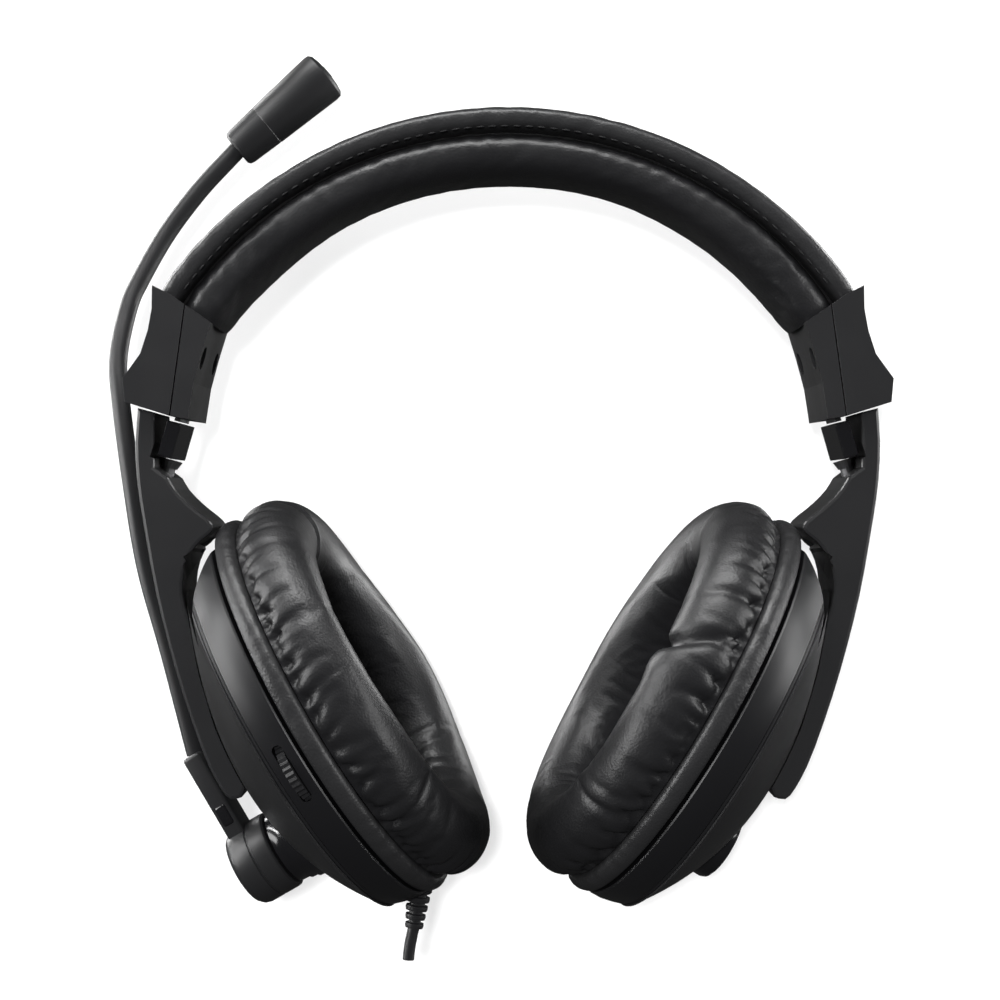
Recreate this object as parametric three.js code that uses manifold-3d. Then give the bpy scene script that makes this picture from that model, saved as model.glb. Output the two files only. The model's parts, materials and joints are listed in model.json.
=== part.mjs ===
// Office headset: two over-ear cups hung on sliding arms from a padded headband,
// with a swinging microphone boom and a volume wheel on the wearer's right-hand (-X) cup.
// Millimetres. X is across the head, -Y is the front, +Z is up.
// The origin is the centre of the overall bounding box, with the headset adjusted to its
// shortest, the cups toed out and the boom stored upright.
import * as THREE from "three";
import { mergeVertices } from "three/addons/utils/BufferGeometryUtils.js";
import Module from "manifold-3d";

const wasm = await Module();
wasm.setup();
const degrees = THREE.MathUtils.degToRad;

// ---- Driving dimensions ----
const GAP = 0.35; // clearance between neighbouring pieces
const BAND = {
  centreZ: 40.1, // height of the centre of the headband's arc
  outerR: 100.8,
  coverInnerR: 95.2,
  springInnerR: 94.2,
  padInnerR: 83.5,
  coverWidth: 29,
  padWidth: 27,
  springWidth: 16,
  softEnd: 55, // half-angle where the cover and pad stop
  springEnd: 58.4, // half-angle where the spring strip stops, inside the housing
};
const HOUSING = { width: 30, seamGap: 0.3 };
const HOUSING_SCREW = {
  y: 10.2,
  z: 80.6,
  radius: 1.6,
  headR: 2.7,
  headU: 76.2, // middle of the head
  headLength: 1.6,
  shankU: 81.4, // middle of the shank
  shankLength: 10.4,
};
const SLIDE = { angle: 16, stripLength: 38, stripWidth: 14, stripThickness: 1.4 };
const BLOCK = { u: 80.8, z: 61.2, thickness: 3.6, width: 22, height: 9.4 };
const PIN = { radius: 1.8, length: 8, boreGap: 0.35, boreDepth: 9, collarR: 3 };
const ARM = { width: 24, bevel: 0.8 };
const CUP = {
  u: 44.5, // distance of the cup's centre from the middle of the head
  z: -4,
  tilt: 30.5, // the bottom leans in
  toeOut: 6, // the ear side turns forward
  longR: 51, // half of the oval's long side
  ovalShare: 0.845, // short side over long side
};
const SHELL = { depth: 8, wall: 2, groove: 0.7, domeTop: 25, domeShear: -0.35, flange: 4 };
const CUSHION = { top: -22, seam: -7, ringWidth: 21, skirtR: 50.6 };
const DRIVER = { base: -1.4, radius: 20, frameHeight: 4, magnetR: 11, magnetHeight: 4.5 };
const HUB = { drop: 24.3, radius: 10, collarEnd: 26.4, capEnd: 38.3, shaftR: 3.2 };
const BOOM = { radius: 2.3, armWidth: 9.5, armInnerP: 31.6, armOuterP: 36.2, armTop: 6 };
const MIC = { length: 30.5, smallR: 5.1, largeR: 6.6 };
const WHEEL = { radius: 8.2, thickness: 2, p: 4.4, drop: 7, y: -35.6, teeth: 36, boreR: 1.5 };
const BLANK_TOP = 24.4; // outer face of the cap that fills the microphone's place on the other cup
const RELIEF = { u: 21.4, z: -46.8, lean: -8, topR: 3.2, endR: 2.4, length: 10.5 };
const CABLE = { radius: 1.45, length: 8 };

// ---- Finishes ----
const finish = (color, roughness, metalness = 0) =>
  new THREE.MeshStandardMaterial({ color, roughness, metalness });
const LEATHERETTE = finish(0x1b1b1c, 0.5);
const SATIN = finish(0x2b2b2d, 0.45);
const GLOSS = finish(0x0d0d0e, 0.12);
const SOFT_BLACK = finish(0x161617, 0.6);
const STEEL = finish(0x8c8d90, 0.3, 1);
const COPPER_BOARD = finish(0x1d4a2c, 0.6);
const MAGNET = finish(0x6f7175, 0.35, 0.9);
const CLOTH = finish(0x141415, 0.95);

// ---- Solids ----
// A closed three.js geometry as a manifold solid, with corners closer than WELD joined.
const WELD = 1e-4;
function solid(geometry) {
  const bare = geometry.index ? geometry.toNonIndexed() : geometry.clone();
  bare.deleteAttribute("normal");
  bare.deleteAttribute("uv");
  const merged = mergeVertices(bare, WELD);
  return new wasm.Manifold(
    new wasm.Mesh({
      numProp: 3,
      vertProperties: merged.attributes.position.array,
      triVerts: new Uint32Array(merged.index.array),
    }),
  );
}

// A manifold solid as a three.js geometry.
function geometryOf(made) {
  const mesh = made.getMesh();
  const corners = new Float32Array(mesh.numVert * 3);
  for (let i = 0; i < mesh.numVert; i++)
    corners.set(mesh.vertProperties.subarray(i * mesh.numProp, i * mesh.numProp + 3), i * 3);
  const geometry = new THREE.BufferGeometry()
    .setAttribute("position", new THREE.BufferAttribute(corners, 3))
    .setIndex(new THREE.BufferAttribute(new Uint32Array(mesh.triVerts), 1));
  geometry.computeVertexNormals();
  return geometry;
}

const cut = (body, ...tools) => tools.reduce((left, tool) => left.subtract(tool), body);
const join = (...bodies) => bodies.reduce((whole, body) => whole.add(body));
const at = (geometry, x, y, z) => geometry.translate(x, y, z);

// An outline in the X-Z plane, extruded along Y and centred on Y = 0.
function plate(outline, width, bevel = 0, curveSegments = 6) {
  const depth = width - 2 * bevel;
  const geometry = new THREE.ExtrudeGeometry(outline, {
    depth,
    bevelEnabled: bevel > 0,
    bevelThickness: bevel,
    bevelSize: bevel,
    bevelOffset: -bevel,
    bevelSegments: 2,
    curveSegments,
  });
  geometry.translate(0, 0, -depth / 2);
  return geometry.rotateX(Math.PI / 2);
}

// A polygon outline from [u, z] pairs.
const polygon = (points) => new THREE.Shape(points.map(([u, z]) => new THREE.Vector2(u, z)));

// Part of a ring about the headband's centre, between two half-angles from straight up.
function bandShape(innerR, outerR, halfAngle) {
  const shape = new THREE.Shape();
  const from = degrees(90 - halfAngle);
  const to = degrees(90 + halfAngle);
  shape.absarc(0, BAND.centreZ, outerR, from, to, false);
  shape.absarc(0, BAND.centreZ, innerR, to, from, true);
  return shape;
}

// A profile of [radius, height] pairs as lathe points: counter-clockwise, so that faces point
// out, and closed on itself where it doesn't start and end on the axis.
function latheProfile(profile) {
  const points = profile.map(([radius, height]) => new THREE.Vector2(radius, height));
  if (THREE.ShapeUtils.area(points) < 0) points.reverse();
  if (points[0].x > 0 || points.at(-1).x > 0) points.push(points[0].clone());
  return points;
}

// A profile of [radius, p] pairs turned about the cup's axis, which is local X.
function turned(profile, segments = 32) {
  return new THREE.LatheGeometry(latheProfile(profile), segments).rotateZ(-Math.PI / 2);
}

const roundX = (radius, length, segments = 20) =>
  new THREE.CylinderGeometry(radius, radius, length, segments).rotateZ(Math.PI / 2);

// An oval copy of a turned geometry: the front-to-back side is the short one.
const oval = (geometry) => geometry.scale(1, CUP.ovalShare, 1);

// ---- Scene graph ----
// The assembly is drawn about the middle of the head, and moved at the end of the file.
const assembly = new THREE.Group();

function add(parent, name, made, material) {
  const geometry = made.isBufferGeometry ? made : geometryOf(made);
  const mesh = new THREE.Mesh(geometry, material);
  mesh.name = name;
  parent.add(mesh);
  return mesh;
}

// ---- Slider frame: along the strip, which leans out from the housing ----
const slideAngle = degrees(SLIDE.angle);
function alongSlide(geometry) {
  return geometry.rotateY(-slideAngle).translate(BLOCK.u, 0, BLOCK.z);
}
function stripSolid(grow = 0) {
  const width = SLIDE.stripWidth + 2 * grow;
  const thickness = SLIDE.stripThickness + 2 * grow;
  const length = SLIDE.stripLength + 2 * grow;
  const bottom = BLOCK.height / 2 - grow;
  return solid(alongSlide(at(new THREE.BoxGeometry(thickness, width, length), 0, 0, bottom + length / 2)));
}

// ---- Headband ----
function buildHeadband() {
  const cover = plate(
    bandShape(BAND.coverInnerR, BAND.outerR, BAND.softEnd),
    BAND.coverWidth,
    2.2,
    10,
  );
  add(assembly, "headband_top_cover", cover, LEATHERETTE);

  const spring = plate(
    bandShape(BAND.springInnerR, BAND.coverInnerR - GAP, BAND.springEnd),
    BAND.springWidth,
    0,
    10,
  );
  add(assembly, "headband_spring", spring, STEEL);

  const mirror = new THREE.Matrix4().makeScale(-1, 1, 1);
  const pocket = stripSolid(0.5);
  const otherPocket = pocket.transform(mirror.elements);
  const pad = solid(
    plate(bandShape(BAND.padInnerR, BAND.springInnerR - GAP, BAND.softEnd), BAND.padWidth, 3.5, 10),
  );
  add(assembly, "headband_pad", cut(pad, pocket, otherPocket), LEATHERETTE);
}

// ---- Slider housing: an outer and an inner moulding, screwed together from the inside ----
const housingOuter = [
  [84.2, 97.6],
  [84.3, 92],
  [85.2, 87],
  [87, 81.4],
  [91.2, 75.6],
  [90.7, 70],
];
const housingInner = [
  [79.8, 66.6],
  [75.7, 66],
  [74.4, 74.5],
  [72.4, 82],
  [69.8, 90.4],
];
const SEAM_TOP = [76.4, 94.6];
const SEAM_BOTTOM = [80.2, 66.7];
const AROUND_HOUSING = { innerU: 40, outerU: 120, lowZ: 50, highZ: 120 }; // a box well outside it

function buildHousing(side, sideGroup) {
  const whole = solid(plate(polygon([...housingOuter, ...housingInner]), HOUSING.width));
  const seam = HOUSING.seamGap;
  const [topU, topZ] = SEAM_TOP;
  const [bottomU, bottomZ] = SEAM_BOTTOM;
  const { innerU, outerU, lowZ, highZ } = AROUND_HOUSING;
  const outerSide = [
    [topU, topZ],
    [topU, highZ],
    [outerU, highZ],
    [outerU, lowZ],
    [bottomU, lowZ],
    [bottomU, bottomZ],
  ];
  const innerSide = [
    [topU - seam, highZ],
    [topU - seam, topZ],
    [bottomU - seam, bottomZ],
    [bottomU - seam, lowZ],
    [innerU, lowZ],
    [innerU, highZ],
  ];
  const outerRegion = solid(plate(polygon(outerSide), 2 * HOUSING.width));
  const innerRegion = solid(plate(polygon(innerSide), 2 * HOUSING.width));
  const slot = stripSolid(GAP);
  const soft = solid(plate(bandShape(BAND.padInnerR - GAP, BAND.outerR + GAP, BAND.softEnd + 0.3), 40));
  const spring = solid(
    plate(
      bandShape(BAND.springInnerR - GAP, BAND.coverInnerR, BAND.springEnd + 0.4),
      BAND.springWidth + 2 * GAP,
      0,
      28,
    ),
  );
  const { y: screwY, z: screwZ, headU, headLength, shankU, shankLength } = HOUSING_SCREW;
  const headRoomLength = 10;
  const headRoomU = headU + headLength / 2 - headRoomLength / 2 + 0.2;
  const screwHoles = [];
  [-screwY, screwY].forEach((y) => {
    screwHoles.push(solid(at(roundX(HOUSING_SCREW.radius + GAP, 30, 14), shankU, y, screwZ)));
    screwHoles.push(solid(at(roundX(HOUSING_SCREW.headR, headRoomLength, 16), headRoomU, y, screwZ)));
  });
  const hollow = [slot, soft, spring, ...screwHoles];
  add(sideGroup, "slider_housing_outer_" + side, cut(whole.intersect(outerRegion), ...hollow), SATIN);
  add(sideGroup, "slider_housing_inner_" + side, cut(whole.intersect(innerRegion), ...hollow), SATIN);

  [-screwY, screwY].forEach((y, index) => {
    const head = solid(at(roundX(HOUSING_SCREW.headR - GAP, headLength, 16), headU, y, screwZ));
    const shank = solid(at(roundX(HOUSING_SCREW.radius, shankLength, 12), shankU, y, screwZ));
    add(sideGroup, "housing_screw_" + (index + 1) + "_" + side, join(head, shank), STEEL);
  });
}

// ---- Slider: steel strip, end block and the swivel pin below it ----
function buildSlider(side, sideGroup) {
  add(sideGroup, "slider_strip_" + side, stripSolid(), STEEL);
  const block = alongSlide(new THREE.BoxGeometry(BLOCK.thickness, BLOCK.width, BLOCK.height - 2 * GAP));
  add(sideGroup, "slider_end_block_" + side, block, GLOSS);
  const pinTop = -BLOCK.height / 2 - 0.05;
  const pin = new THREE.CylinderGeometry(PIN.radius, PIN.radius, PIN.length, 20).rotateX(Math.PI / 2);
  const collar = new THREE.CylinderGeometry(PIN.collarR, 2.2, 2, 20).rotateX(Math.PI / 2);
  const made = join(
    solid(alongSlide(at(pin, 0, 0, pinTop - PIN.length / 2))),
    solid(alongSlide(at(collar, 0, 0, pinTop - 1))),
  );
  add(sideGroup, "swivel_pin_" + side, made, STEEL);
}

// ---- Cup shells, in the cup's own frame: p (local X) points away from the head ----
const placeCup = new THREE.Matrix4()
  .makeTranslation(CUP.u, 0, CUP.z)
  .multiply(new THREE.Matrix4().makeRotationY(degrees(CUP.tilt)))
  .multiply(new THREE.Matrix4().makeRotationZ(degrees(CUP.toeOut)));
const shear = new THREE.Matrix4().makeShear(0, SHELL.domeShear, 0, 0, 0, 0);

const domeStart = SHELL.depth + SHELL.groove;
const domeProfile = (radius, grow = 0) =>
  domeStart + (SHELL.domeTop - domeStart) * (1 - (radius / (CUP.longR - 1.5)) ** 2) + grow;
const domeRadii = [0, 12, 22, 32, 41, CUP.longR - 1.5];

// The dome leans: higher points of it sit lower on the cup.
function leanDome(geometry) {
  return geometry.translate(-domeStart, 0, 0).applyMatrix4(shear).translate(domeStart, 0, 0);
}

// The see-through window between the arm and the top of the cup, in the side's own frame.
const windowOutline = new THREE.Shape();
windowOutline.moveTo(71.2, 12.6);
windowOutline.splineThru(
  [
    [72.7, 20],
    [72.6, 26],
    [70.6, 33],
    [67.6, 38.6],
  ].map(([u, z]) => new THREE.Vector2(u, z)),
);
windowOutline.lineTo(70.6, 42);
windowOutline.lineTo(80, 40);
windowOutline.lineTo(78, 28);
windowOutline.closePath();
const unplaceCup = placeCup.clone().invert();
const windowSolid = solid(plate(windowOutline, 100, 0, 2)).transform(unplaceCup.elements);

// The window with a wall's thickness added all round.
function wallAroundWindow(wall) {
  const directions = 8;
  let grown = windowSolid;
  for (let i = 0; i < directions; i++) {
    const angle = (2 * Math.PI * i) / directions;
    grown = grown.add(windowSolid.translate(wall * Math.cos(angle), 0, wall * Math.sin(angle)));
  }
  return grown;
}
const windowWall = wallAroundWindow(SHELL.wall - 0.4);

function cupEnvelope(grow) {
  const outer = domeRadii.map((r) => [r === 0 ? 0 : r + grow, domeProfile(r, grow)]).reverse();
  const dome = solid(oval(leanDome(turned([[0, 2], [CUP.longR - 1.5 + grow, 2], ...outer]))));
  const rim = solid(
    oval(turned([[0, -20], [CUP.longR + grow, -20], [CUP.longR + grow, SHELL.depth], [0, SHELL.depth]])),
  );
  return join(dome, rim);
}

const placedEnvelope = cupEnvelope(GAP).transform(placeCup.elements);

function boltBoss(radius, fromP, toP, y, q, segments = 14) {
  return solid(at(roundX(radius, toP - fromP, segments), (fromP + toP) / 2, y, q));
}

// The [y, q] places of the two screws that hold the arm to the dome.
const armScrews = [
  [-6, 7],
  [6, 7],
];
const ARM_SCREW_SURFACE = 21.2; // p of the dome's outer face at the screws
const ARM_SCREW = { shankR: 1.2, headR: 2.4 };
const armScrewHoles = () => armScrews.map(([y, q]) => boltBoss(ARM_SCREW.shankR + GAP, 12, 32, y, q));

function buildArm(side, sideGroup) {
  const outline = new THREE.Shape();
  outline.moveTo(88.2, 68.7);
  outline.splineThru(
    [
      [88.8, 60],
      [88.2, 50],
      [86.6, 39.6],
      [84, 25.2],
      [80.8, 12],
      [77, -1],
      [72.4, -14],
      [69, -21],
      [66.3, -24.4],
      [63.4, -24],
    ].map(([u, z]) => new THREE.Vector2(u, z)),
  );
  outline.lineTo(60, -16);
  outline.lineTo(66, 0);
  outline.lineTo(73.5, 13);
  outline.splineThru(
    [
      [77, 22],
      [77.3, 28],
      [76, 33],
      [73.6, 36.6],
      [70.9, 38.8],
      [70.2, 40.4],
      [71.4, 42.2],
      [75.4, 45.4],
      [79, 49],
      [81, 52.2],
    ].map(([u, z]) => new THREE.Vector2(u, z)),
  );
  outline.lineTo(84.2, 54.6);
  outline.lineTo(84.2, 67.5);
  outline.closePath();
  const body = solid(plate(outline, ARM.width, ARM.bevel, 2));
  const boreR = PIN.radius + PIN.boreGap;
  const bore = new THREE.CylinderGeometry(boreR, boreR, PIN.boreDepth, 20).rotateX(Math.PI / 2);
  const collarR = PIN.collarR + 0.6;
  const collarRoom = new THREE.CylinderGeometry(collarR, collarR, 3.2, 20).rotateX(Math.PI / 2);
  const pinRooms = [
    solid(alongSlide(at(bore, 0, 0, -(BLOCK.height + PIN.boreDepth) / 2))),
    solid(alongSlide(at(collarRoom, 0, 0, -BLOCK.height / 2 - 0.9))),
  ];
  const blockRoom = solid(
    alongSlide(new THREE.BoxGeometry(BLOCK.thickness + 2.6, BLOCK.width + 6, BLOCK.height + 1)),
  );
  const screws = armScrewHoles().map((hole) => hole.transform(placeCup.elements));
  add(sideGroup, "arm_" + side, cut(body, ...pinRooms, blockRoom, placedEnvelope, ...screws), SATIN);
}

function buildRearShell(side, cup, hasMic) {
  const rimR = CUP.longR - 1.5;
  const outside = domeRadii.map((r) => [r, domeProfile(r)]).reverse();
  const inside = domeRadii.filter((r) => r < 45).map((r) => [r, domeProfile(r) - SHELL.wall]);
  const outer = solid(oval(leanDome(turned([[0, domeStart], ...outside]))));
  const hollowR = rimR - SHELL.wall;
  const hollowRim = [[0, domeStart - 1], [hollowR, domeStart - 1], [hollowR, domeStart]];
  const hollowProfile = [...hollowRim, ...inside.toReversed()];
  const hollow = solid(oval(leanDome(turned(hollowProfile)))).subtract(windowWall);
  let shell = cut(outer, windowSolid, hollow, ...armScrewHoles());
  if (hasMic) {
    const hubSeat = boltBoss(HUB.radius - 0.4, 12, HUB.collarEnd, 0, -HUB.drop, 28);
    const shaftHole = boltBoss(HUB.shaftR + GAP, 5, 40, 0, -HUB.drop, 20);
    shell = cut(join(shell, hubSeat), hollow, shaftHole);
  }
  add(cup, "rear_shell_" + side, shell, SATIN);
  armScrews.forEach(([y, q], index) => {
    const head = boltBoss(ARM_SCREW.headR, ARM_SCREW_SURFACE - 2.6, ARM_SCREW_SURFACE - 1.2, y, q, 14);
    const shank = boltBoss(ARM_SCREW.shankR, ARM_SCREW_SURFACE - 1.4, ARM_SCREW_SURFACE + 5.2, y, q, 10);
    add(cup, "arm_screw_" + (index + 1) + "_" + side, join(head, shank), STEEL);
  });
}

function buildFrontShell(side, cup, hasWheel) {
  const r = CUP.longR;
  const wall = SHELL.wall;
  const outer = solid(
    oval(turned([[0, GAP], [r - 0.3, GAP], [r - 0.4, 3], [r - 1.6, SHELL.depth], [0, SHELL.depth]])),
  );
  const inner = oval(
    turned([[0, 2.4], [r - 0.6 - wall, 2.4], [r - 1.6 - wall, SHELL.depth + 1], [0, SHELL.depth + 1]]),
  );
  const mouth = oval(turned([[0, 0], [r - wall - SHELL.flange, 0], [r - wall - SHELL.flange, 3], [0, 3]]));
  let shell = cut(outer, windowSolid, solid(inner).subtract(windowWall), solid(mouth).subtract(windowWall));
  if (hasWheel) {
    const slot = solid(
      at(new THREE.BoxGeometry(WHEEL.thickness + 0.8, 12, 14.5), WHEEL.p, -40, -WHEEL.drop),
    );
    const room = boltBoss(WHEEL.radius + 0.6, WHEEL.p - 1.7, WHEEL.p + 1.7, WHEEL.y, -WHEEL.drop, 24);
    shell = cut(shell, slot, room);
  }
  add(cup, "front_shell_" + side, shell, GLOSS);
}

function buildBaffle(side, cup) {
  const r = CUP.longR - 3;
  const plateSolid = solid(
    oval(turned([[0, -4], [r, -4], [r, -GAP], [r - 3, -GAP], [r - 3, -1.8], [0, -1.8]])),
  );
  const mouth = boltBoss(DRIVER.radius - 3, -8, 4, 0, 0, 32);
  add(cup, "driver_baffle_" + side, cut(plateSolid, mouth), SOFT_BLACK);

  const { base, frameHeight: height } = DRIVER;
  const basket = turned(
    [
      [12, base],
      [DRIVER.radius, base],
      [DRIVER.radius, base + 2],
      [DRIVER.magnetR + 2, base + height],
      [12, base + height],
    ],
    28,
  );
  add(cup, "driver_basket_" + side, basket, SOFT_BLACK);
  const coneEdge = 11.6;
  const cone = turned(
    [
      [0, base + 1.2],
      [4, base + 0.6],
      [coneEdge, base],
      [coneEdge, base + 0.5],
      [4, base + 1.1],
      [0, base + 1.7],
    ],
    24,
  );
  add(cup, "driver_diaphragm_" + side, cone, CLOTH);
  const magnet = boltBoss(
    DRIVER.magnetR,
    base + height + GAP,
    base + height + DRIVER.magnetHeight,
    0,
    0,
    24,
  );
  add(cup, "driver_magnet_" + side, magnet, MAGNET);
}

function buildCushion(side, cup) {
  const r = CUSHION.skirtR;
  const inner = CUP.longR - CUSHION.ringWidth;
  const profile = [
    [inner + 1, -4 - GAP],
    [inner - 0.8, -9],
    [inner - 0.6, -15],
    [inner + 3, -19.6],
    [inner + 9, CUSHION.top],
    [r - 6, -20],
    [r - 2, -14],
    [r - 0.5, CUSHION.seam],
    [r + 0.2, -3],
    [r - 0.2, -GAP],
    [r - 2.2, -GAP],
    [r - 2.2, -4 - GAP],
  ];
  const ring = oval(turned(profile, 32));
  add(cup, "ear_cushion_" + side, solid(ring), LEATHERETTE);
  const scrim = oval(turned([[0, -5.4], [inner + 0.2, -5.4], [inner + 0.2, -4.6], [0, -4.6]], 28));
  add(cup, "ear_scrim_" + side, scrim, CLOTH);
}

// ---- Microphone boom, on the side with the microphone ----
// Centreline of the boom, in distance from the middle of the head, place front to back and
// height. The toe-out of the cup puts the hub a little back, and the upper part bends on
// backwards, so that the boom passes behind the headband when the cup slides down.
const boomPath = [
  [76.5, 3.5, -15.5],
  [83, 3.5, 9.4],
  [88.9, 3.8, 30.5],
  [92.7, 5, 51.9],
  [96, 8.5, 72.3],
  [97, 11.5, 82.6],
  [95.3, 16, 95.2],
  [92.6, 18.5, 102.6],
  [86.6, 21.5, 114.3],
  [78.6, 23, 125.5],
  [69.2, 23.5, 135.8],
];

function buildBoom(cup, sideGroup) {
  const capStart = HUB.collarEnd + GAP;
  const cap = turned(
    [
      [0, capStart],
      [HUB.radius, capStart],
      [HUB.radius, HUB.capEnd - 2.4],
      [HUB.radius - 1, HUB.capEnd - 0.8],
      [HUB.radius - 3.4, HUB.capEnd],
      [0, HUB.capEnd],
    ],
    32,
  ).translate(0, 0, -HUB.drop);
  const armLength = HUB.drop + BOOM.armTop;
  const thickness = BOOM.armOuterP - BOOM.armInnerP;
  const arm = at(
    new THREE.BoxGeometry(thickness, BOOM.armWidth, armLength),
    (BOOM.armInnerP + BOOM.armOuterP) / 2,
    0,
    BOOM.armTop - armLength / 2,
  );
  const shaft = boltBoss(HUB.shaftR, 14.8, capStart + 1, 0, -HUB.drop, 16);
  const hub = join(solid(cap), solid(arm), shaft);
  add(cup, "mic_boom_hub", hub, SATIN);
  const clip = boltBoss(HUB.shaftR + 2.2, 15.4, 16.8, 0, -HUB.drop, 16);
  const clipHole = boltBoss(HUB.shaftR + GAP, 10, 30, 0, -HUB.drop, 16);
  add(cup, "mic_hub_retainer", cut(clip, clipHole), STEEL);

  const curve = new THREE.CatmullRomCurve3(boomPath.map((point) => new THREE.Vector3(...point)));
  const ring = new THREE.Shape().absarc(0, 0, BOOM.radius, 0, 2 * Math.PI, false);
  const tube = new THREE.ExtrudeGeometry(ring, {
    steps: 22,
    bevelEnabled: false,
    extrudePath: curve,
    curveSegments: 4,
  });
  const tubeSolid = solid(tube);
  const socket = [0, -GAP, GAP].map((shift) =>
    solid(arm.clone().translate(shift, 0, Math.abs(shift))).transform(placeCup.elements),
  );
  add(sideGroup, "mic_boom", cut(tubeSolid, ...socket), SOFT_BLACK);

  const end = curve.getPointAt(1);
  const direction = new THREE.Vector3(-0.76, 0, 0.65);
  const turn = new THREE.Quaternion().setFromUnitVectors(new THREE.Vector3(0, 1, 0), direction);
  const capsuleProfile = [
    [0, 0],
    [MIC.smallR - 0.8, 0],
    [MIC.smallR, 0.8],
    [MIC.largeR, MIC.length - 1.5],
    [MIC.largeR - 1, MIC.length - 0.4],
    [0, MIC.length],
  ];
  const capsule = new THREE.LatheGeometry(latheProfile(capsuleProfile), 28)
    .applyQuaternion(turn)
    .translate(end.x + direction.x * GAP, end.y, end.z + direction.z * GAP);
  add(sideGroup, "mic_capsule", capsule, SOFT_BLACK);
}

// ---- Volume wheel and its control, in the side of the front shell ----
function buildVolume(cup) {
  const outline = new THREE.Shape();
  for (let i = 0; i < 2 * WHEEL.teeth; i++) {
    const angle = (i / WHEEL.teeth) * Math.PI;
    const r = WHEEL.radius - (i % 2 ? 0.35 : 0);
    if (i === 0) outline.moveTo(r, 0);
    else outline.lineTo(r * Math.cos(angle), r * Math.sin(angle));
  }
  outline.closePath();
  const wheel = new THREE.ExtrudeGeometry(outline, { depth: WHEEL.thickness, bevelEnabled: false })
    .translate(0, 0, -WHEEL.thickness / 2)
    .rotateY(Math.PI / 2)
    .translate(WHEEL.p, WHEEL.y, -WHEEL.drop);
  const hole = boltBoss(WHEEL.boreR + 0.1, 0, 10, WHEEL.y, -WHEEL.drop, 16);
  add(cup, "volume_wheel", cut(solid(wheel), hole), SOFT_BLACK);
  const top = WHEEL.p + WHEEL.thickness / 2 + 0.4;
  const body = solid(at(new THREE.BoxGeometry(2.2, 9, 9), top + 1.1, WHEEL.y + 1.5, -WHEEL.drop));
  const shaft = boltBoss(WHEEL.boreR - 0.05, WHEEL.p - 1.2, top + 1, WHEEL.y, -WHEEL.drop, 16);
  add(cup, "volume_control", join(body, shaft), MAGNET);
  const board = at(new THREE.BoxGeometry(1.2, 18, 22), 10.4, -19, -WHEEL.drop);
  add(cup, "circuit_board", board, COPPER_BOARD);
}

// ---- Cable and its strain relief, at the bottom of the cup ----
function buildCable(sideGroup) {
  const relief = [[0, 0], [RELIEF.topR, 0], [RELIEF.topR, 2]];
  const ribs = 3;
  for (let i = 0; i < ribs; i++) {
    const from = 2 + (i * (RELIEF.length - 2)) / ribs;
    const r = RELIEF.topR - ((RELIEF.topR - RELIEF.endR) * (i + 1)) / ribs;
    relief.push([r - 0.7, from], [r - 0.7, from + 0.9], [r, from + 0.9], [r, from + 2.6]);
  }
  relief.push([0, RELIEF.length - 0.2]);
  const down = (points, segments) =>
    new THREE.LatheGeometry(latheProfile(points), segments).rotateX(-Math.PI / 2);
  const place = (geometry) => geometry.rotateY(degrees(RELIEF.lean)).translate(RELIEF.u, 0, RELIEF.z);
  const whole = solid(place(down(relief, 14)));
  add(sideGroup, "cable_strain_relief", whole.subtract(placedEnvelope), SOFT_BLACK);
  const cableFrom = RELIEF.length + 0.1;
  const cableEnd = cableFrom + CABLE.length;
  const r = CABLE.radius;
  const cable = down([[0, cableFrom], [r, cableFrom], [r, cableEnd], [0, cableEnd]], 16);
  add(sideGroup, "cable", place(cable), SOFT_BLACK);
}

// ---- Assembly ----
buildHeadband();
[
  ["left", -1],
  ["right", 1],
].forEach(([side, sign]) => {
  const sideGroup = new THREE.Group();
  sideGroup.scale.x = sign;
  assembly.add(sideGroup);
  const cup = new THREE.Group();
  cup.applyMatrix4(placeCup);
  sideGroup.add(cup);
  const hasMic = sign < 0;
  buildHousing(side, sideGroup);
  buildSlider(side, sideGroup);
  buildArm(side, sideGroup);
  buildRearShell(side, cup, hasMic);
  buildFrontShell(side, cup, hasMic);
  buildBaffle(side, cup);
  buildCushion(side, cup);
  if (hasMic) {
    buildBoom(cup, sideGroup);
    buildVolume(cup);
    buildCable(sideGroup);
  } else {
    const blank = boltBoss(HUB.radius, 12, BLANK_TOP, 0, -HUB.drop, 24).subtract(cupEnvelope(GAP));
    add(cup, "blank_pivot_cap", blank, GLOSS);
  }
});

// ---- Frame: the origin is the centre of the overall box ----
const headset = new THREE.Group();
const centre = new THREE.Box3().setFromObject(assembly, true).getCenter(new THREE.Vector3());
assembly.position.copy(centre.negate());
headset.add(assembly);

export default headset;
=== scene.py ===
"""Looks of the office headset around its CAD frame: leatherette, plastic, light and camera.

Builders work in millimetres in one of two frames. The side frame has u pointing away from the
middle of the head, y to the back and z up. The cup frame has p pointing out of the cup, y to the
back and q up its long axis. side_frame() and cup_frame() turn both into metres in the row frame.
"""
import json
import math

import bmesh
import bpy
import numpy as np
from mathutils import Matrix, Vector


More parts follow.
